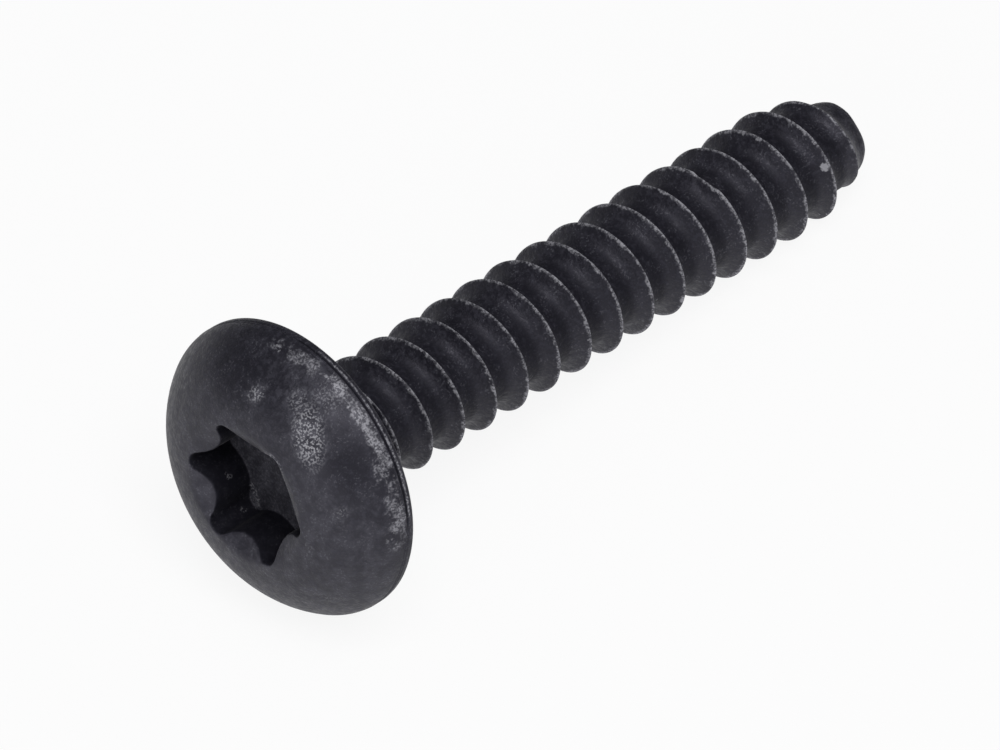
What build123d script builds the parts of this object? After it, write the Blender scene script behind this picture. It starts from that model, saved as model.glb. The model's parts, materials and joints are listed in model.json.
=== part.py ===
from build123d import *
import math
import os

# A thread-forming sheet metal screw, one solid piece of steel: a domed truss head with a
# six-lobe drive recess, a spaced right-hand thread right up to the head and a blunt end.
# It lies as it comes to rest on a flat surface, on the rim of its head and on the crest of
# one of its last turns, with its end towards +X. Lengths in millimetres, angles in degrees.

# Thread
thread_pitch = 1.41
thread_diameter = 4.1
core_diameter = 3.05
flank_angle = 60.0
root_fillet_radius = 0.55

# Shank, from the bearing face of the head to the blunt end
shank_length = 24.3
taper_length = 2.8
end_diameter = 2.56
end_chamfer = 0.15
neck_diameter = 4.4
neck_length = 0.45

# Fading of the thread along the taper: two slopes, the first from just clear of the crest
fade_knee_diameter = 3.7
fade_knee_distance = 1.5
fade_clearance = 0.03
fade_sink = 0.01

# Head
head_diameter = 9.68
head_height = 2.56
crown_radius = 12.0
shoulder_radius = 3.22
rim_height = 0.5
rim_bevel = 0.12

# Six-lobe recess with a shallow countersink that breaks the edges of its flutes
recess_point_diameter = 4.62
recess_flute_diameter = 3.4
recess_point_radius = 0.38
recess_depth = 1.98
countersink_diameter = 4.56
countersink_angle = 120.0

# Turns about the axis, counted from the side that the screw lies on towards +Y
thread_turn = 33.0
recess_turn = 28.8

# The ridge's hidden foot: how far it reaches into the core, and its sloping first part
foot_depth = 0.12
foot_skirt = 0.03

head_radius = head_diameter / 2
crest_radius = thread_diameter / 2
core_radius = core_diameter / 2
end_radius = end_diameter / 2
neck_radius = neck_diameter / 2
taper_start = shank_length - taper_length
lobe_count = 6


def point_on(centre, radius, angle):
    """The point of a circle at an angle in radians."""
    return (centre[0] + radius * math.cos(angle), centre[1] + radius * math.sin(angle))


def arc(centre, radius, first, last):
    """The arc of a circle from one angle to another, in radians."""
    angles = (first, (first + last) / 2, last)
    return ThreePointArc(*[point_on(centre, radius, angle) for angle in angles])


def circles_meet(one, one_radius, other, other_radius):
    """Where two circles meet, on the left of the way from one centre to the other."""
    across = (other[0] - one[0], other[1] - one[1])
    distance = math.hypot(*across)
    along = (distance**2 + one_radius**2 - other_radius**2) / (2 * distance)
    aside = math.sqrt(one_radius**2 - along**2)
    x = one[0] + (across[0] * along - across[1] * aside) / distance
    y = one[1] + (across[1] * along + across[0] * aside) / distance
    return (x, y)


# Centres in the half section of the screw: distance from the axis, height over the bearing face
crown_centre = (0, crown_radius - head_height)
rim_corner = (head_radius, -rim_height)
rim_seat = (head_radius, -rim_bevel)
shoulder_centre = circles_meet(rim_corner, shoulder_radius, crown_centre, crown_radius - shoulder_radius)
fade_start = (crest_radius + fade_clearance, taper_start)
fade_knee = (fade_knee_diameter / 2, shank_length - fade_knee_distance)
fade_end = (end_radius - fade_sink, shank_length - end_chamfer)


def direction(centre, point):
    """Angle of the way from a centre to a point, in radians."""
    return math.atan2(point[1] - centre[1], point[0] - centre[0])


def head_blank():
    """The turned head, with its bearing face at height 0 and the conical neck above it."""
    crown_join = direction(crown_centre, shoulder_centre)
    lines = [
        arc(crown_centre, crown_radius, -math.pi / 2, crown_join),
        arc(shoulder_centre, shoulder_radius, crown_join, direction(shoulder_centre, rim_corner)),
        Polyline(rim_corner, rim_seat, (head_radius - rim_bevel, 0), (neck_radius, 0)),
        Polyline((neck_radius, 0), (core_radius, neck_length), (0, neck_length), (0, -head_height)),
    ]
    return revolve(Plane.XZ * make_face(Curve() + lines), Axis.Z)


def shank_core():
    """The bare core of the shank, from inside the head to its tapered and chamfered end."""
    outline = Polyline(
        (0, -rim_height),
        (core_radius, -rim_height),
        (core_radius, taper_start),
        (end_radius, shank_length - end_chamfer),
        (end_radius - end_chamfer, shank_length),
        (0, shank_length),
        (0, -rim_height),
    )
    return revolve(Plane.XZ * make_face(outline), Axis.Z)


def ridge_section():
    """Corners of the thread ridge as radius and height, from its lower foot over the sharp crest.

    Each root fillet is one sloping strip between the points where it leaves flank and core.
    """
    half_flank = math.radians(flank_angle / 2)
    fillet_turn = math.pi / 2 - half_flank
    flank_foot = (crest_radius - core_radius) * math.tan(half_flank)
    fillet_reach = root_fillet_radius * math.tan(fillet_turn / 2)
    fillet_centre = (core_radius + root_fillet_radius, flank_foot + fillet_reach)
    skirt = fillet_centre[1] + foot_skirt / math.tan(fillet_turn / 2)
    upper = [
        point_on(fillet_centre, root_fillet_radius, math.pi + fillet_turn),
        (core_radius - foot_skirt, skirt),
        (core_radius - foot_depth, skirt),
    ]
    lower = [(radius, -height) for radius, height in reversed(upper)]
    return lower + [(crest_radius, 0)] + upper


def thread_ridge():
    """The helical ridge, from inside the head to where it fades into the tapered end.

    Its strips are made one turn at a time, from the corners of the ridge's section.
    """
    start = -thread_pitch / 2
    turns = math.ceil((shank_length - start) / thread_pitch)
    corners = ridge_section()
    strips = []
    for number in range(turns):
        helices = []
        for radius, height in corners:
            foot = (0, 0, start + number * thread_pitch + height)
            helices.append(Edge.make_helix(thread_pitch, thread_pitch, radius, center=foot))
        for one, other in zip(helices, helices[1:] + helices[:1]):
            strips.append(Face.make_surface_from_curves(one, other))
    ends = []
    for base in (start, start + turns * thread_pitch):
        ends.append(Face(Wire.make_polygon([(radius, 0, base + height) for radius, height in corners])))
    ridge = Solid(Shell(strips + ends))
    bottom = -thread_pitch
    fade = Polyline(
        (0, bottom),
        (fade_start[0], bottom),
        fade_start,
        fade_knee,
        fade_end,
        (0, fade_end[1]),
        (0, bottom),
    )
    limit = revolve(Plane.XZ * make_face(fade), Axis.Z)
    turn = thread_turn + 360 * start / thread_pitch
    return Rot(0, 0, turn) * (ridge & limit)


def lobe_outline():
    """The six-lobe outline: round points outside, wider flutes inside, tangent to each other."""
    step = math.pi / lobe_count
    point_centre = recess_point_diameter / 2 - recess_point_radius
    flute = recess_flute_diameter / 2
    spread = recess_point_radius**2 - point_centre**2 - flute**2 + 2 * point_centre * flute * math.cos(step)
    flute_radius = spread / (2 * (flute - point_centre * math.cos(step) - recess_point_radius))
    half = direction((point_centre, 0), point_on((0, 0), flute + flute_radius, step))
    arcs = []
    for index in range(lobe_count):
        middle = 2 * step * index
        here = point_on((0, 0), point_centre, middle)
        following = point_on((0, 0), point_centre, middle + 2 * step)
        point_arc = arc(here, recess_point_radius, middle - half, middle + half)
        flute_end = point_on(following, recess_point_radius, middle + 2 * step - half)
        flute_arc = ThreePointArc(point_arc @ 1, point_on((0, 0), flute, middle + step), flute_end)
        arcs += [point_arc, flute_arc]
    return make_face(Curve() + arcs)


def drive_recess():
    """What the drive recess takes out of the head: the six-lobe socket and its countersink."""
    crown = -head_height
    socket = Pos(0, 0, crown - 1) * extrude(lobe_outline(), recess_depth + 1)
    mouth = countersink_diameter / 2
    mouth_height = crown_centre[1] - math.sqrt(crown_radius**2 - mouth**2)
    slope = math.tan(math.radians(countersink_angle / 2))
    throat = recess_flute_diameter / 2
    wide = mouth + (mouth_height - crown) * slope
    profile = Polyline(
        (0, crown),
        (wide, crown),
        (throat, mouth_height + (mouth - throat) / slope),
        (0, mouth_height + (mouth - throat) / slope),
        (0, crown),
    )
    countersink = revolve(Plane.XZ * make_face(profile), Axis.Z)
    return Rot(0, 0, recess_turn) * (socket + countersink)


def crest_reach(height):
    """Distance from the axis to the thread's crest, which drops where the thread fades."""
    if height < taper_start:
        return crest_radius
    first, last = (fade_start, fade_knee) if height < fade_knee[1] else (fade_knee, fade_end)
    share = (height - first[1]) / (last[1] - first[1])
    return min(crest_radius, first[0] + share * (last[0] - first[0]))


def resting_tilt():
    """Slope of the axis when the rim of the head and the thread touch a flat surface.

    The touching corner of the crest is the one that leaves the least slope of all turns.
    """
    slopes = []
    height = -thread_turn / 360 * thread_pitch
    while height < fade_end[1] - thread_pitch:
        height += thread_pitch
        cut = crest_radius - crest_reach(height)
        half_width = cut * math.tan(math.radians(flank_angle / 2))
        for corner in (height - half_width, height + half_width):
            drop = rim_seat[0] - crest_reach(corner)
            slopes.append(math.atan2(drop, corner - rim_seat[1]))
    return math.degrees(min(slopes))


screw = shank_core() + thread_ridge() + head_blank() - drive_recess()
tilt = resting_tilt()
lying = Rot(0, 90 + tilt, 0) * screw
sunk = rim_seat[0] * math.cos(math.radians(tilt)) + rim_seat[1] * math.sin(math.radians(tilt))
lying = Pos(-lying.bounding_box().center().X, 0, sunk) * lying

os.makedirs("parts", exist_ok=True)
export_step(lying, "parts/screw.step")
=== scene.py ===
import json
import math
from collections import namedtuple

import bpy
from mathutils import Euler, Matrix, Vector, noise

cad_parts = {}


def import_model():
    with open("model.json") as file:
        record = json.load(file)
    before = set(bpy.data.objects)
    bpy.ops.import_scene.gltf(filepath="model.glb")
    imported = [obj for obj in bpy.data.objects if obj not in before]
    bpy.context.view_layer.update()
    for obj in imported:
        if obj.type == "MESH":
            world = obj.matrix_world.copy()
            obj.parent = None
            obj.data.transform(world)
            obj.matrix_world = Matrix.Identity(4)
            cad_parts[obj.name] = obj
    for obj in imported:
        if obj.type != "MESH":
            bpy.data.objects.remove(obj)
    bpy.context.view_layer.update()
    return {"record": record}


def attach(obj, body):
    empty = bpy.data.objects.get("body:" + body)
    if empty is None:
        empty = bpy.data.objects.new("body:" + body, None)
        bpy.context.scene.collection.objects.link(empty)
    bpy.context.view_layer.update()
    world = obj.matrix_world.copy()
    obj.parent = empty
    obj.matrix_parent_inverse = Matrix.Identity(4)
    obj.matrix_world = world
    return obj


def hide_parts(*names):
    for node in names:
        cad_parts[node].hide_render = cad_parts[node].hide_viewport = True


# A black sheet metal screw that lies on a pale floor. One finer mesh stands for the solid: it has
# the same head, recess, core and thread, with rounded roots, edges and small dents. Lengths in
# millimetres, angles in degrees, and the mesh is turned into metres when it is placed.

# Marks on the surface and lamps, by the names of their values
Patch = namedtuple("Patch", "x y half_length half_width heading strength")
Stretch = namedtuple("Stretch", "first last low high bare")
Fleck = namedtuple("Fleck", "angle height reach half_width brightness")
Lamp = namedtuple("Lamp", "name azimuth elevation size power")

# Thread and shank
thread_pitch = 1.41
crest_radius = 2.05
core_radius = 1.525
crest_width = 0.03
crest_rounding = 0.004
flank_angle = 60.0
root_fillet_radius = 0.55
thread_turn = 33.0
shank_length = 24.3
end_radius = 1.28
end_rounding = 0.2
end_face_rings = (0.8, 0.4)
neck_radius = 2.2
neck_length = 0.45
neck_blend = 0.08

# Along the end, height over the bearing face and radius: how the crest fades, and the core
fade_line = ((21.5, 2.05), (22.17, 1.97), (22.88, 1.82), (23.23, 1.71), (23.58, 1.56), (24.1, 1.30))
core_line = ((22.4, 1.525), (23.3, 1.43), (24.1, 1.28))

# Unevenness of the rolled surface: depth of its hollows on the thread and near the end, the heights
# where the deeper ones begin and are full, their width, and their middle and swing as shares of depth
uneven_depth = 0.007
uneven_end_depth = 0.05
uneven_end_begin = 22.4
uneven_end_full = 23.8
uneven_width = 0.8
uneven_middle = 0.35
uneven_swing = 1.3

# Nick in the crest of one turn
nick_angle = 190.0
nick_height = 17.53
nick_half_length = 0.55
nick_sink = 0.09

# Head
head_radius = 4.84
head_height = 2.56
crown_radius = 12.0
shoulder_radius = 3.22
rim_height = 0.5
rim_rounding = 0.9
rim_rounding_end = -5.0
rim_groove_height = -0.29
rim_groove_width = 0.035
rim_groove_depth = 0.035
# Angles between which the rim groove gets painted shade, on one side of the head only, and the angle over
# which its ends fade
rim_groove_shade_first = -190.0
rim_groove_shade_last = -94.0
rim_groove_shade_fade = 12.0
rim_bevel = 0.12

# Recess
lobe_count = 6
recess_point_radius_out = 2.31
recess_flute_radius_out = 1.70
recess_point_radius = 0.38
recess_depth = 1.98
recess_turn = 28.8
recess_edge = 0.05
recess_corner = 0.06
countersink_radius = 2.28
countersink_angle = 120.0
countersink_reach = 0.22
countersink_blend = 0.07

# Where a patch ends and where it is full, as shares of its half length and half width
patch_outer = 1.65
patch_inner = 0.2

# Patches of the head that are rubbed and carry painted highlights with pale specks, placed as seen along the
# axis
rub_and_highlight_patches = (
    Patch(x=-3.55, y=0.30, half_length=0.34, half_width=0.24, heading=60.0, strength=0.9),
    Patch(x=-3.15, y=-1.85, half_length=1.00, half_width=0.48, heading=-34.0, strength=1.0),
    Patch(x=-3.90, y=-1.10, half_length=0.55, half_width=0.35, heading=-60.0, strength=0.60),
    Patch(x=-4.20, y=-1.75, half_length=0.75, half_width=0.38, heading=-65.0, strength=0.55),
    Patch(x=-1.25, y=-3.43, half_length=0.40, half_width=0.25, heading=20.0, strength=0.55),
    Patch(x=0.37, y=-2.62, half_length=0.40, half_width=0.30, heading=70.0, strength=0.45),
    Patch(x=2.38, y=-3.10, half_length=0.45, half_width=0.25, heading=40.0, strength=0.45),
)

# Darker patches of the crown: painted shade, with the grey film left thin there
painted_shade_patches = (
    Patch(x=-3.75, y=1.35, half_length=1.75, half_width=1.05, heading=75.0, strength=1.0),
    Patch(x=-2.65, y=-3.20, half_length=1.20, half_width=0.65, heading=-42.0, strength=0.9),
)

# Painted shade in the darker patches
patch_painted_shade = 0.4

# Rubbed edge of the recess
rubbed_edge_first = -178.0
rubbed_edge_last = -92.0
rubbed_edge_strength = 0.75
rubbed_edge_fade = 15.0

# Grey film over the crown and the end of the shank, and painted light on the floor of the recess, from 0 to
# 1
crown_rub = 0.27
end_rub = 0.34
end_rub_begin = 1.3
end_rub_full = 0.7
recess_floor_painted_light = 0.36

# Painted shade of the recess floor and of the thread's root, which also dulls their gloss, from 0 to 1, and
# its start and end beside the crest
recess_floor_painted_shade = 0.3
root_painted_shade = 0.5
root_painted_shade_begin = 0.1
root_painted_shade_full = 0.6

# Wear of the crest: half width, and distances from the end where it stops and where it is full
crest_wear_reach = 0.135
crest_wear_stop = 0.5
crest_wear_full = 1.2

# Stretches of the rim with a painted highlight band and worn edges, by angle and height, and the angle over
# which their ends fade
rim_stretch_fade = 10.0
rim_wear_and_highlight_stretches = (
    Stretch(first=-170.0, last=-122.0, low=-0.80, high=-0.34, bare=0.92),
    Stretch(first=-135.0, last=-84.0, low=-1.00, high=-0.25, bare=0.70),
    Stretch(first=164.0, last=200.0, low=-1.00, high=-0.45, bare=0.72),
    Stretch(first=-178.0, last=-96.0, low=-0.25, high=-0.15, bare=0.95),
)

# Flecks on the thread, by angle, height and distance from the axis
flecks = (
    Fleck(angle=-122.5, height=21.82, reach=1.85, half_width=0.17, brightness=1.0),
    Fleck(angle=-150.1, height=14.80, reach=2.05, half_width=0.055, brightness=0.6),
    Fleck(angle=-97.9, height=10.70, reach=2.00, half_width=0.055, brightness=0.6),
    Fleck(angle=-72.9, height=14.42, reach=1.53, half_width=0.050, brightness=0.4),
    Fleck(angle=-155.2, height=17.53, reach=2.01, half_width=0.060, brightness=0.9),
    Fleck(angle=-50.1, height=22.06, reach=1.80, half_width=0.050, brightness=0.5),
    Fleck(angle=-157.9, height=11.94, reach=2.04, half_width=0.060, brightness=0.7),
    Fleck(angle=-163.0, height=13.30, reach=2.02, half_width=0.055, brightness=0.7),
    Fleck(angle=-138.4, height=13.40, reach=2.03, half_width=0.060, brightness=0.7),
    Fleck(angle=-172.2, height=4.81, reach=2.03, half_width=0.060, brightness=0.8),
    Fleck(angle=164.9, height=20.21, reach=1.99, half_width=0.060, brightness=0.7),
    Fleck(angle=-179.5, height=20.26, reach=1.98, half_width=0.055, brightness=0.7),
    Fleck(angle=-149.8, height=21.78, reach=1.97, half_width=0.060, brightness=0.6),
    Fleck(angle=-137.1, height=16.21, reach=2.00, half_width=0.055, brightness=0.6),
)

# Crumbs in the recess, placed in the same way
crumbs = (
    Fleck(angle=43.5, height=-0.58, reach=1.84, half_width=0.12, brightness=0.35),
    Fleck(angle=36.2, height=-0.58, reach=1.92, half_width=0.17, brightness=0.40),
    Fleck(angle=29.9, height=-0.58, reach=2.05, half_width=0.16, brightness=0.40),
    Fleck(angle=24.8, height=-0.58, reach=2.18, half_width=0.13, brightness=0.35),
    Fleck(angle=66.3, height=-1.40, reach=1.74, half_width=0.11, brightness=0.30),
    Fleck(angle=63.1, height=-1.32, reach=1.71, half_width=0.13, brightness=0.25),
    Fleck(angle=29.5, height=-1.00, reach=2.31, half_width=0.13, brightness=0.30),
)

# Mesh fineness
columns = 200
arc_steps = 6

# Camera, fitted to the photograph
camera_place = (-182.592, -173.307, 251.06)
camera_elevation = 44.84
camera_heading = 43.826
camera_roll = -0.275
camera_lens = 414.88
camera_sensor = 36.0
camera_clip_start = 0.01

# Light: the lamps' distance and sizes in metres, and their power in watts
lamp_distance = 0.5
lamps = (
    Lamp(name="key", azimuth=-120.0, elevation=66.0, size=0.30, power=1.75),
    Lamp(name="front", azimuth=-165.0, elevation=12.0, size=0.30, power=0.6),
    Lamp(name="back", azimuth=35.0, elevation=66.0, size=0.40, power=0.1),
)
world_colour = (0.13, 0.13, 0.14, 1)

# Floor: half its side in metres, the share of its own light where it is seen or mirrored, and its paper
floor_half = 3.0
floor_glow = 0.9
floor_colour = (0.93, 0.93, 0.935, 1)
floor_roughness = 0.9
floor_gloss = 0.1

# Colours of the blackened steel and of its painted shade and highlights, how metallic it is where bare or
# painted bright, and its sheen
soot_colour = (0.0045, 0.0043, 0.0080, 1)
oxide_colour = (0.0085, 0.0082, 0.0130, 1)
blotch_colour = (0.0160, 0.0156, 0.0225, 1)
grain_colour = (0.0300, 0.0295, 0.0400, 1)
clump_colour = (0.0900, 0.0900, 0.1050, 1)
painted_shade_colour = (0.0045, 0.0045, 0.0070, 1)
film_and_light_colour = (0.0700, 0.0690, 0.0820, 1)
glint_speckle_colour = (0.3000, 0.3000, 0.3200, 1)
steel_and_highlight_colour = (0.3300, 0.3280, 0.3550, 1)
gloss_colour = (0.88, 0.86, 1.0, 1)
bare_metallic = 0.4
sheen_weight = 0.05
sheen_roughness = 0.3

# Widths of its patterns, the heights of its two finest ones, and how ragged its flecks are
fine_width = 0.07
grain_width = 0.16
bead_width = 0.3
blotch_width = 0.5
cloud_width = 1.6
fine_relief = 0.012
grain_relief = 0.035
fleck_raggedness = 0.03

metre = 0.001


# Plane geometry

def point_on(centre, radius, angle):
    """The point of a circle at an angle in radians."""
    return (centre[0] + radius * math.cos(angle), centre[1] + radius * math.sin(angle))


def arc_points(centre, radius, first, last, steps):
    """Evenly spaced points of an arc, both ends included."""
    angles = [first + (last - first) * step / steps for step in range(steps + 1)]
    return [point_on(centre, radius, angle) for angle in angles]


def between(first, last, share):
    """The value or point at a share of the way from first to last."""
    if isinstance(first, tuple):
        return tuple(one + (other - one) * share for one, other in zip(first, last))
    return first + (last - first) * share


def circles_meet(one, one_radius, other, other_radius):
    """Where two circles meet, on the left of the way from one centre to the other."""
    across = (other[0] - one[0], other[1] - one[1])
    distance = math.hypot(*across)
    along = (distance**2 + one_radius**2 - other_radius**2) / (2 * distance)
    aside = math.sqrt(one_radius**2 - along**2)
    x = one[0] + (across[0] * along - across[1] * aside) / distance
    y = one[1] + (across[1] * along + across[0] * aside) / distance
    return (x, y)


def direction(centre, point):
    """Angle of the way from a centre to a point, in radians."""
    return math.atan2(point[1] - centre[1], point[0] - centre[0])


def soft_max(one, other, width):
    """The larger of two values, rounded where they are within width of each other."""
    near = max(width - abs(one - other), 0) / width
    return max(one, other) + near * near * width / 4


def smooth_step(value, low, high):
    """0 below low, 1 above high and smooth between them. Low may be the larger one."""
    share = max(0.0, min(1.0, (value - low) / (high - low)))
    return share * share * (3 - 2 * share)


# Shank: radius of its surface

def thread_section():
    """Half of the thread's section, from the middle of the root to the crest: offset and radius."""
    half_flank = math.radians(flank_angle / 2)
    foot = crest_width / 2 + (crest_radius - core_radius) * math.tan(half_flank)
    fillet_turn = math.pi / 2 - half_flank
    centre = (foot + root_fillet_radius * math.tan(fillet_turn / 2), core_radius + root_fillet_radius)
    fillet = arc_points(centre, root_fillet_radius, -math.pi / 2, -math.pi / 2 - fillet_turn, arc_steps - 1)
    crest_edge = (crest_width / 2, crest_radius)
    flank = [between(fillet[-1], crest_edge, share) for share in (0.35, 0.7, 0.93)]
    crest = [
        (crest_width / 2 - crest_rounding, crest_radius - crest_rounding),
        (crest_width / 4, crest_radius),
        (0, crest_radius),
    ]
    return [(thread_pitch / 2, fillet[0][1])] + fillet + flank + crest


def line_value(line, place):
    """Value of a broken line at a place, level beyond its ends."""
    if place <= line[0][0]:
        return line[0][1]
    for first, last in zip(line, line[1:]):
        if place <= last[0]:
            return between(first[1], last[1], (place - first[0]) / (last[0] - first[0]))
    return line[-1][1]


def shank_radius(height, section_radius, crest_height):
    """Radius of the shank where its plain thread would have section_radius.

    The ridge is lowered as a whole, by how far it has faded at its crest's height.
    """
    core = line_value(core_line, height)
    left = (line_value(fade_line, crest_height) - core) / (crest_radius - core_radius)
    radius = core + (section_radius - core_radius) * max(0, min(1, left))
    neck = neck_radius - height / neck_length * (neck_radius - core_radius)
    if height < 2 * neck_length:
        radius = soft_max(radius, neck, neck_blend)
    return radius


def unevenness(place):
    """How far the rolled surface lies under its plain form at a place."""
    near_end = smooth_step(place[2], uneven_end_begin, uneven_end_full)
    depth = uneven_depth + (uneven_end_depth - uneven_depth) * near_end
    return depth * max(0, uneven_middle + uneven_swing * noise.noise(Vector(place) / uneven_width))


def nick_depth(place):
    """How deep the nick cuts into the crest at a place."""
    centre = Vector((*point_on((0, 0), crest_radius, math.radians(nick_angle)), nick_height))
    return nick_sink * smooth_step((Vector(place) - centre).length, nick_half_length, nick_half_length / 2)


# Head: its half section and the outline of the recess

def head_section():
    """Points of the head's half section from beside the countersink to the neck: radius, height."""
    crown_centre = (0, crown_radius - head_height)
    rim_corner = (head_radius, -rim_height)
    shoulder_centre = circles_meet(rim_corner, shoulder_radius, crown_centre, crown_radius - shoulder_radius)
    join = direction(crown_centre, shoulder_centre)
    start = math.acos((countersink_radius + countersink_reach) / crown_radius)
    inward = head_radius - rim_rounding - shoulder_centre[0]
    rise = math.sqrt((shoulder_radius - rim_rounding) ** 2 - inward**2)
    rounding_centre = (head_radius - rim_rounding, shoulder_centre[1] - rise)
    rim_turn = direction(shoulder_centre, rounding_centre)
    points = arc_points(crown_centre, crown_radius, -start, join, 2)
    points += arc_points(shoulder_centre, shoulder_radius, join, rim_turn, 15)[1:]
    points += arc_points(rounding_centre, rim_rounding, rim_turn, math.radians(rim_rounding_end), 6)[1:]
    for step in (-2, -1, -0.5, 0, 0.5, 1, 2, 3, 4):
        sink = rim_groove_depth * smooth_step(abs(step), 1.5, 0)
        points.append((head_radius - sink, rim_groove_height + step * rim_groove_width))
    edge_centre = (head_radius - rim_bevel, -rim_bevel)
    points += arc_points(edge_centre, rim_bevel, 0, math.pi / 2, 4)
    bearing = (head_radius - rim_bevel, 0)
    points += [between(bearing, (neck_radius, 0), share) for share in (0.03, 0.3, 0.6, 0.97)]
    return points


def lobe_radius(turn):
    """Distance from the axis to the wall of the recess at an angle in radians from a point's middle."""
    step = math.pi / lobe_count
    point_centre = recess_point_radius_out - recess_point_radius
    flute = recess_flute_radius_out
    spread = recess_point_radius**2 - point_centre**2 - flute**2 + 2 * point_centre * flute * math.cos(step)
    flute_radius = spread / (2 * (flute - point_centre * math.cos(step) - recess_point_radius))
    turn = abs((turn + step) % (2 * step) - step)
    flute_centre = point_on((0, 0), flute + flute_radius, step)
    tangent = direction((point_centre, 0), flute_centre)
    meeting = point_on((point_centre, 0), recess_point_radius, tangent)
    if turn < math.atan2(meeting[1], meeting[0]):
        aside = point_centre * math.sin(turn)
        return point_centre * math.cos(turn) + math.sqrt(recess_point_radius**2 - aside**2)
    reach = math.hypot(*flute_centre)
    across = step - turn
    return reach * math.cos(across) - math.sqrt(flute_radius**2 - (reach * math.sin(across)) ** 2)


def crown_height(radius):
    """Height of the crown and its countersink at a distance from the axis."""
    crown = crown_radius - head_height - math.sqrt(crown_radius**2 - radius**2)
    mouth = crown_radius - head_height - math.sqrt(crown_radius**2 - countersink_radius**2)
    cone = mouth + (countersink_radius - radius) / math.tan(math.radians(countersink_angle / 2))
    return soft_max(crown, cone, countersink_blend)


# Mesh of the screw, built in its own frame: bearing face at height 0, end upwards

class Surface:
    """Vertices and faces, and for each vertex its wear and painted highlight, its rub and painted light, and
    its painted shade.
    """

    def __init__(self):
        self.places = []
        self.faces = []
        self.marks = {"wear_and_highlight": [], "rub_and_light": [], "painted_shade": []}

    def add(self, place, wear_and_highlight=0.0, rub_and_light=0.0, painted_shade=0.0):
        self.places.append(place)
        for name, value in (("wear_and_highlight", wear_and_highlight), ("rub_and_light", rub_and_light), ("painted_shade", painted_shade)):
            self.marks[name].append(value)
        return len(self.places) - 1

    def join(self, corners):
        """One face from corners of which some may be the same vertex."""
        kept = [corner for index, corner in enumerate(corners) if corner != corners[index - 1]]
        if len(kept) > 2 and len(set(kept)) == len(kept):
            self.faces.append(kept)

    def ring(self, points):
        return [self.add(*point) for point in points]

    def bridge(self, inner, outer):
        for index in range(columns):
            after = (index + 1) % columns
            self.join([inner[index], inner[after], outer[after], outer[index]])


def column_angle(index):
    return 2 * math.pi * index / columns


def patch_share(place, patch):
    """How far a place on the front of the head lies inside a patch, from 0 to its strength."""
    across = (place[0] - patch.x, place[1] - patch.y)
    turn = math.radians(patch.heading)
    along = (across[0] * math.cos(turn) + across[1] * math.sin(turn)) / patch.half_length
    aside = (across[1] * math.cos(turn) - across[0] * math.sin(turn)) / patch.half_width
    return patch.strength * smooth_step(math.hypot(along, aside), patch_outer, patch_inner)


def stretch_share(angle, first, last, fade):
    """How far an angle lies between first and last, from 0 outside to 1 beyond fade from both ends."""
    past = (angle - first) % 360
    if past > last - first:
        return 0.0
    return smooth_step(past, 0, fade) * smooth_step(past, last - first, last - first - fade)


def rim_highlight_and_wear(place):
    """How much painted highlight and wear the rim has at a place, from its stretches."""
    angle = math.degrees(math.atan2(place[1], place[0]))
    most = 0.0
    for stretch in rim_wear_and_highlight_stretches:
        edge = (stretch.high - stretch.low) / 3
        share = stretch_share(angle, stretch.first, stretch.last, rim_stretch_fade)
        share *= smooth_step(place[2], stretch.low - edge, stretch.low + edge)
        share *= smooth_step(place[2], stretch.high + edge, stretch.high - edge)
        most = max(most, share * stretch.bare)
    return most


def edge_rub(index):
    """How rubbed the edge of the recess is at a column."""
    angle = math.degrees(column_angle(index))
    share = stretch_share(angle, rubbed_edge_first, rubbed_edge_last, rubbed_edge_fade)
    return between(crown_rub, rubbed_edge_strength, share)


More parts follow.
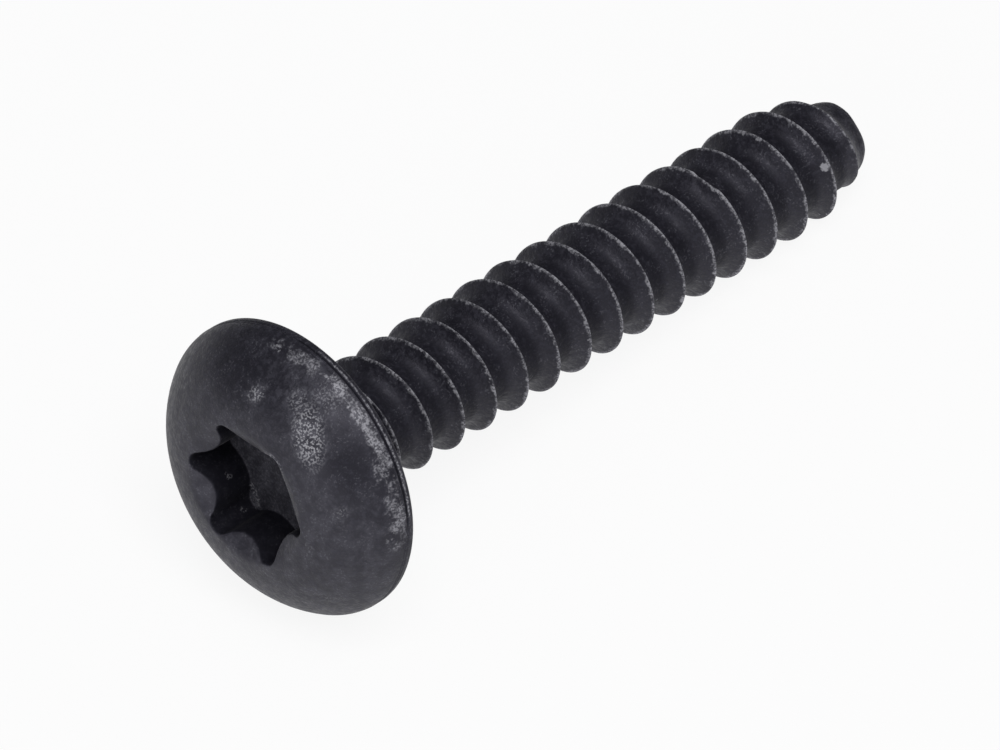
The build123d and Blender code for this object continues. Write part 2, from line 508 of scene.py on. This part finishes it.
def head_rings(surface):
    """The head from the middle of the recess floor round the rim to the neck, as its last ring."""
    turns = [column_angle(index) - math.radians(recess_turn) for index in range(columns)]
    walls = [lobe_radius(turn) for turn in turns]
    floor = recess_depth - head_height

    def on_column(index, radius, height):
        return (*point_on((0, 0), radius, column_angle(index)), height)

    # Floor of the recess, with painted light and some painted shade
    middle = surface.add((0, 0, floor), 0, recess_floor_painted_light, recess_floor_painted_shade)
    rings = []
    floor_rings = [(share, recess_corner, 0) for share in (0.25, 0.5, 0.8, 1)]
    for share, inset, sink in floor_rings + [(1, recess_corner / 3, recess_corner / 4)]:
        points = []
        for index, wall in enumerate(walls):
            place = on_column(index, share * (wall - inset), floor - sink)
            points.append((place, 0, recess_floor_painted_light, recess_floor_painted_shade))
        rings.append(surface.ring(points))
    # Walls of the recess, in full painted shade
    for share in (0, 0.2, 0.4, 0.6, 0.8, 0.93):
        points = []
        for index, wall in enumerate(walls):
            top = crown_height(wall) + recess_edge
            height = between(floor - recess_corner, top, share)
            points.append((on_column(index, wall, height), 0, 0, 1))
        rings.append(surface.ring(points))
    # Rounded edge of the recess, its painted shade fading towards the crown
    for turn in (0, 30, 60, 90):
        spread = recess_edge * (1 - math.cos(math.radians(turn)))
        sink = recess_edge * (1 - math.sin(math.radians(turn)))
        points = []
        for index, wall in enumerate(walls):
            place = on_column(index, wall + spread, crown_height(wall + spread) + sink)
            points.append((place, 0, edge_rub(index) * turn / 90, 1 - turn / 90))
        rings.append(surface.ring(points))
    for share in (0.15, 0.35, 0.55, 0.75, 1):
        points = []
        for index, wall in enumerate(walls):
            radius = between(wall + recess_edge, countersink_radius + countersink_reach, share)
            rub_and_light = between(edge_rub(index), crown_rub, min(1, 1.5 * share))
            points.append((on_column(index, radius, crown_height(radius)), 0, rub_and_light, 0))
        rings.append(surface.ring(points))
    for radius, height in head_section()[1:]:
        points = []
        for index in range(columns):
            place = on_column(index, radius, height)
            rub_and_light = 0
            dimmed = 0
            # Grey film on the crown, thinned in the painted shade patches, and the rubbed patches with
            # painted highlights
            if height < -rim_height:
                dimmed = max(patch_share(place, patch) for patch in painted_shade_patches)
                rub_and_light = crown_rub * (1 - dimmed)
                rub_and_light = max([rub_and_light] + [patch_share(place, patch) for patch in rub_and_highlight_patches])
            # Painted shade in the rim's groove on one side of the head, and in the darker patches
            groove = smooth_step(abs(height - rim_groove_height), 2 * rim_groove_width, 0)
            angle = math.degrees(column_angle(index))
            shade = groove * stretch_share(
                angle, rim_groove_shade_first, rim_groove_shade_last, rim_groove_shade_fade
            )
            points.append((place, rim_highlight_and_wear(place) * (1 - groove), rub_and_light, max(shade, patch_painted_shade * dimmed)))
        rings.append(surface.ring(points))
    for index in range(columns):
        surface.join([middle, rings[0][(index + 1) % columns], rings[0][index]])
    for inner, outer in zip(rings, rings[1:]):
        surface.bridge(inner, outer)
    return rings[-1]


def shank_mesh(surface, start_ring):
    """The shank from the head's last ring to its end, with rows that follow the thread."""
    half = thread_section()
    rows = [(-offset, radius) for offset, radius in half]
    rows += [(offset, radius) for offset, radius in half[-2:0:-1]]
    count = len(rows)
    end_height = shank_length - end_rounding
    turns = math.ceil(shank_length / thread_pitch) + 2

    def raw_height(column, row):
        lift = (column_angle(column) - math.radians(thread_turn)) / (2 * math.pi)
        return thread_pitch * (lift - 1 + row // count) + rows[row % count][0]

    def lowered(place):
        radius = math.hypot(place[0], place[1])
        share = 1 - (unevenness(place) + nick_depth(place)) / radius
        return (place[0] * share, place[1] * share, place[2])

    def ring_at(height):
        points = []
        for column in range(columns):
            radius = shank_radius(height, core_radius, height)
            place = (*point_on((0, 0), radius, column_angle(column)), height)
            points.append((lowered(place), 0, end_rub))
        return surface.ring(points)

    end_ring = ring_at(end_height)
    vertices = {}

    def vertex(column, row):
        turn, column = divmod(column, columns)
        row += turn * count
        height = raw_height(column, row)
        if height <= 0:
            return start_ring[column]
        if height >= end_height:
            return end_ring[column]
        if (column, row) not in vertices:
            offset, section_radius = rows[row % count]
            radius = shank_radius(height, section_radius, height - offset)
            offset = abs(offset)
            left = shank_length - height
            wear_and_highlight = smooth_step(offset, crest_wear_reach, 0)
            wear_and_highlight *= smooth_step(left, crest_wear_stop, crest_wear_full)
            rub_and_light = end_rub * smooth_step(left, end_rub_begin, end_rub_full)
            # Painted shade in the thread's root
            painted_shade = root_painted_shade * smooth_step(offset, root_painted_shade_begin, root_painted_shade_full)
            place = (*point_on((0, 0), radius, column_angle(column)), height)
            vertices[(column, row)] = surface.add(lowered(place), wear_and_highlight, rub_and_light, painted_shade)
        return vertices[(column, row)]

    for column in range(columns):
        for row in range(turns * count):
            surface.join([
                vertex(column, row),
                vertex(column + 1, row),
                vertex(column + 1, row + 1),
                vertex(column, row + 1),
            ])
    rings = [end_ring]
    centre = (end_radius - end_rounding, shank_length - end_rounding)
    profile = arc_points(centre, end_rounding, 0, math.pi / 2, 5)[1:]
    profile += [(radius, shank_length) for radius in end_face_rings]
    for radius, height in profile:
        points = []
        for column in range(columns):
            place = (*point_on((0, 0), radius, column_angle(column)), height)
            points.append((lowered(place), 0, end_rub))
        rings.append(surface.ring(points))
    for lower, upper in zip(rings, rings[1:]):
        surface.bridge(lower, upper)
    tip = surface.add((0, 0, shank_length), 0, end_rub)
    for column in range(columns):
        surface.join([rings[-1][column], rings[-1][(column + 1) % columns], tip])


def placement(record):
    """From the screw's own frame to the row's, read from the thread's mount."""
    mount = next(mount for mount in record["mounts"] if mount["name"] == "thread")
    along = Vector(mount["axis"]).normalized()
    across = Vector((0, 1, 0))
    turned = Matrix((across.cross(along), across, along)).transposed().to_4x4()
    return Matrix.Translation(Vector(mount["pos_m"])) @ turned @ Matrix.Scale(metre, 4)


def build_screw(record):
    surface = Surface()
    shank_mesh(surface, head_rings(surface))
    mesh = bpy.data.meshes.new("screw_finish")
    place = placement(record)
    mesh.from_pydata([place @ Vector(point) for point in surface.places], [], surface.faces)
    mesh.validate()
    for name, values in surface.marks.items():
        layer = mesh.attributes.new(name, "FLOAT", "POINT")
        layer.data.foreach_set("value", values)
    mesh.shade_smooth()
    mesh.update()
    piece = bpy.data.objects.new("screw_finish", mesh)
    bpy.context.scene.collection.objects.link(piece)
    return piece


# Materials

class Nodes:
    """A small helper that adds nodes to one material and links them."""

    def __init__(self, name):
        self.material = bpy.data.materials.new(name)
        self.material.use_nodes = True
        self.tree = self.material.node_tree
        self.shader = self.tree.nodes["Principled BSDF"]

    def plug(self, socket, value):
        if isinstance(value, bpy.types.NodeSocket):
            self.tree.links.new(value, socket)
        else:
            socket.default_value = value

    def add(self, kind, inputs, output=0, **settings):
        node = self.tree.nodes.new(kind)
        for key, value in settings.items():
            setattr(node, key, value)
        for key, value in inputs.items():
            self.plug(node.inputs[key], value)
        return node.outputs[output]

    def math(self, operation, one, other=0.0):
        return self.add("ShaderNodeMath", {0: one, 1: other}, operation=operation)

    def noise(self, place, size, detail=2.0, roughness=0.5):
        """Noise whose features are about size millimetres wide."""
        inputs = {"Vector": place, "Scale": 1 / (size * metre), "Detail": detail, "Roughness": roughness}
        return self.add("ShaderNodeTexNoise", inputs)

    def step(self, value, low, high, to_low=0.0, to_high=1.0):
        """Value mapped smoothly from low..high to to_low..to_high."""
        inputs = {0: value, 1: low, 2: high, 3: to_low, 4: to_high}
        return self.add("ShaderNodeMapRange", inputs, interpolation_type="SMOOTHSTEP")

    def mix(self, share, one, other):
        node = self.tree.nodes.new("ShaderNodeMix")
        node.data_type = "RGBA"
        self.plug(node.inputs["Factor"], share)
        self.plug(node.inputs[6], one)
        self.plug(node.inputs[7], other)
        return node.outputs[2]


def fleck_share(nodes, place, edge, matrix, spots):
    """How far a place lies inside one of the spots, whose edges follow a noise."""
    total = 0.0
    ragged = fleck_raggedness * metre
    for spot in spots:
        centre = matrix @ Vector((*point_on((0, 0), spot.reach, math.radians(spot.angle)), spot.height))
        away = nodes.add("ShaderNodeVectorMath", {0: place, 1: centre}, "Value", operation="DISTANCE")
        away = nodes.math("ADD", away, nodes.step(edge, 0.3, 0.7, -ragged, ragged))
        rim = spot.half_width * metre
        share = nodes.step(away, rim, 0.6 * rim, 0.0, spot.brightness)
        total = nodes.math("MAXIMUM", share, total)
    return total


def blackened_steel(matrix):
    """Black oxide with a fine grain and a grey film, worn to bare steel where the mesh is marked, with
    painted shade in the hollows and painted highlights and light on the head.
    """
    nodes = Nodes("blackened_steel")
    place = nodes.add("ShaderNodeTexCoord", {}, "Object")
    wear_and_highlight = nodes.add("ShaderNodeAttribute", {}, "Fac", attribute_name="wear_and_highlight")
    rub_and_light = nodes.add("ShaderNodeAttribute", {}, "Fac", attribute_name="rub_and_light")
    painted_shade = nodes.add("ShaderNodeAttribute", {}, "Fac", attribute_name="painted_shade")
    fine = nodes.noise(place, fine_width, 2)
    grain = nodes.noise(place, grain_width, 3, 0.6)
    blotch = nodes.noise(place, blotch_width, 2)
    cloud = nodes.noise(place, cloud_width, 2)

    # Oxide: dark and light clouds, blotches, grains and clumps of fine dots, with painted shade in the
    # hollows
    dark = nodes.mix(nodes.step(cloud, 0.35, 0.7), soot_colour, oxide_colour)
    dark = nodes.mix(nodes.step(blotch, 0.45, 0.75, 0.0, 0.7), dark, blotch_colour)
    dark = nodes.mix(nodes.step(grain, 0.48, 0.64, 0.0, 0.55), dark, grain_colour)
    clump = nodes.math("MULTIPLY", nodes.step(fine, 0.56, 0.66), nodes.step(blotch, 0.44, 0.64, 0.08, 0.6))
    dark = nodes.mix(clump, dark, clump_colour)
    dark = nodes.mix(nodes.step(painted_shade, 0.0, 1.0, 0.0, 0.66), dark, painted_shade_colour)

    # Grey film, which also paints highlights on the head's patches and light on the recess floor, and
    # painted glints as pale dots where it is strongest
    film_and_light = nodes.math("MULTIPLY", rub_and_light, nodes.step(blotch, 0.35, 0.65, 0.25, 1.1))
    film_and_light = nodes.math("MULTIPLY", film_and_light, nodes.step(grain, 0.36, 0.64, 0.55, 1.35))
    dark = nodes.mix(film_and_light, dark, film_and_light_colour)
    glint_speckle = nodes.math("MULTIPLY", nodes.step(rub_and_light, 0.25, 1.0), nodes.step(fine, 0.50, 0.60))
    dark = nodes.mix(glint_speckle, dark, glint_speckle_colour)

    # Bare steel and painted highlight: worn edges and the rim's painted highlight band, broken up by the
    # noises, beads on them, flecks and crumbs
    ragged = nodes.math("ADD", wear_and_highlight, nodes.step(blotch, 0.3, 0.7, -0.30, 0.10))
    ragged = nodes.math("ADD", ragged, nodes.step(grain, 0.3, 0.7, -0.22, 0.12))
    bare_and_highlight = nodes.step(ragged, 0.35, 0.90, 0.0, 0.8)
    bare_and_highlight = nodes.math("MULTIPLY", bare_and_highlight, nodes.step(fine, 0.42, 0.57, 0.20, 1.1))
    bead = nodes.step(nodes.noise(place, bead_width, 4, 0.6), 0.60, 0.68)
    bead = nodes.math("MULTIPLY", nodes.step(wear_and_highlight, 0.3, 0.8), bead)
    bare_and_highlight = nodes.math("MAXIMUM", bare_and_highlight, bead)
    bare_and_highlight = nodes.math("MAXIMUM", bare_and_highlight, fleck_share(nodes, place, fine, matrix, flecks))
    dust = fleck_share(nodes, place, grain, matrix, crumbs)
    dust = nodes.math("MULTIPLY", dust, nodes.step(fine, 0.46, 0.56))
    bare_and_highlight = nodes.math("MAXIMUM", bare_and_highlight, dust)
    nodes.plug(nodes.shader.inputs["Base Color"], nodes.mix(bare_and_highlight, dark, steel_and_highlight_colour))
    nodes.plug(nodes.shader.inputs["Metallic"], nodes.math("MULTIPLY", bare_and_highlight, bare_metallic))

    # Satin gloss, duller in the hollows
    rough = nodes.step(painted_shade, 0.1, 0.5, 0.0, 0.14)
    rough = nodes.math("ADD", nodes.step(grain, 0.3, 0.7, 0.46, 0.68), rough)
    nodes.plug(nodes.shader.inputs["Roughness"], rough)
    nodes.plug(nodes.shader.inputs["Specular IOR Level"], nodes.step(painted_shade, 0.05, 0.8, 0.5, 0.18))
    nodes.shader.inputs["Specular Tint"].default_value = gloss_colour
    nodes.shader.inputs["Sheen Weight"].default_value = sheen_weight
    nodes.shader.inputs["Sheen Roughness"].default_value = sheen_roughness

    # Grain of the surface, too fine for the mesh
    strength = nodes.step(painted_shade, 0.5, 1.0, 0.6, 0.08)
    inputs = {"Height": fine, "Strength": strength, "Distance": fine_relief * metre}
    bump = nodes.add("ShaderNodeBump", inputs)
    inputs = {"Height": grain, "Strength": strength, "Distance": grain_relief * metre, "Normal": bump}
    nodes.plug(nodes.shader.inputs["Normal"], nodes.add("ShaderNodeBump", inputs))
    return nodes.material


def floor_material():
    """White paper. Seen directly or mirrored it is nearer to pure white, and keeps a light shadow."""
    nodes = Nodes("floor_paper")
    nodes.shader.inputs["Base Color"].default_value = floor_colour
    nodes.shader.inputs["Roughness"].default_value = floor_roughness
    nodes.shader.inputs["Specular IOR Level"].default_value = floor_gloss
    path = nodes.tree.nodes.new("ShaderNodeLightPath").outputs
    seen = nodes.math("MAXIMUM", path["Is Camera Ray"], path["Is Glossy Ray"])
    seen = nodes.math("MAXIMUM", seen, path["Is Transmission Ray"])
    glow = nodes.add("ShaderNodeEmission", {"Color": (1, 1, 1, 1), "Strength": 1.0})
    share = nodes.math("MULTIPLY", seen, floor_glow)
    surface = nodes.add("ShaderNodeMixShader", {0: share, 1: nodes.shader.outputs[0], 2: glow})
    nodes.plug(nodes.tree.nodes["Material Output"].inputs["Surface"], surface)
    return nodes.material


# Stage: floor, lamps, world and camera

def add_floor():
    signs = ((-1, -1), (1, -1), (1, 1), (-1, 1))
    corners = [(floor_half * x, floor_half * y, 0) for x, y in signs]
    mesh = bpy.data.meshes.new("floor")
    mesh.from_pydata(corners, [], [(0, 1, 2, 3)])
    floor = bpy.data.objects.new("floor", mesh)
    mesh.materials.append(floor_material())
    bpy.context.scene.collection.objects.link(floor)


def add_lamp(name, azimuth, elevation, size, power):
    """A square lamp that aims at the screw, at a distance of lamp_distance."""
    lamp = bpy.data.lights.new(name, "AREA")
    lamp.size = size
    lamp.energy = power
    level = math.cos(math.radians(elevation))
    way = Vector((*point_on((0, 0), level, math.radians(azimuth)), math.sin(math.radians(elevation))))
    thing = bpy.data.objects.new(name, lamp)
    thing.location = way * lamp_distance
    thing.rotation_euler = way.to_track_quat("Z", "Y").to_euler()
    bpy.context.scene.collection.objects.link(thing)


def add_light():
    world = bpy.data.worlds.new("studio")
    world.use_nodes = True
    world.node_tree.nodes["Background"].inputs["Color"].default_value = world_colour
    bpy.context.scene.world = world
    for lamp in lamps:
        add_lamp(*lamp)


def add_camera():
    camera = bpy.data.cameras.new("camera")
    camera.lens = camera_lens
    camera.sensor_width = camera_sensor
    camera.clip_start = camera_clip_start
    thing = bpy.data.objects.new("camera", camera)
    thing.location = [value * metre for value in camera_place]
    aim = Euler((math.radians(90 - camera_elevation), 0, math.radians(camera_heading - 90))).to_matrix()
    thing.rotation_euler = (aim @ Matrix.Rotation(math.radians(camera_roll), 3, "Z")).to_euler()
    bpy.context.scene.collection.objects.link(thing)
    bpy.context.scene.camera = thing


def main():
    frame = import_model()
    piece = build_screw(frame["record"])
    piece.data.materials.append(blackened_steel(placement(frame["record"])))
    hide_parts("screw")
    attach(piece, "root")
    add_floor()
    add_light()
    add_camera()
    bpy.context.scene.view_settings.view_transform = "Standard"


main()
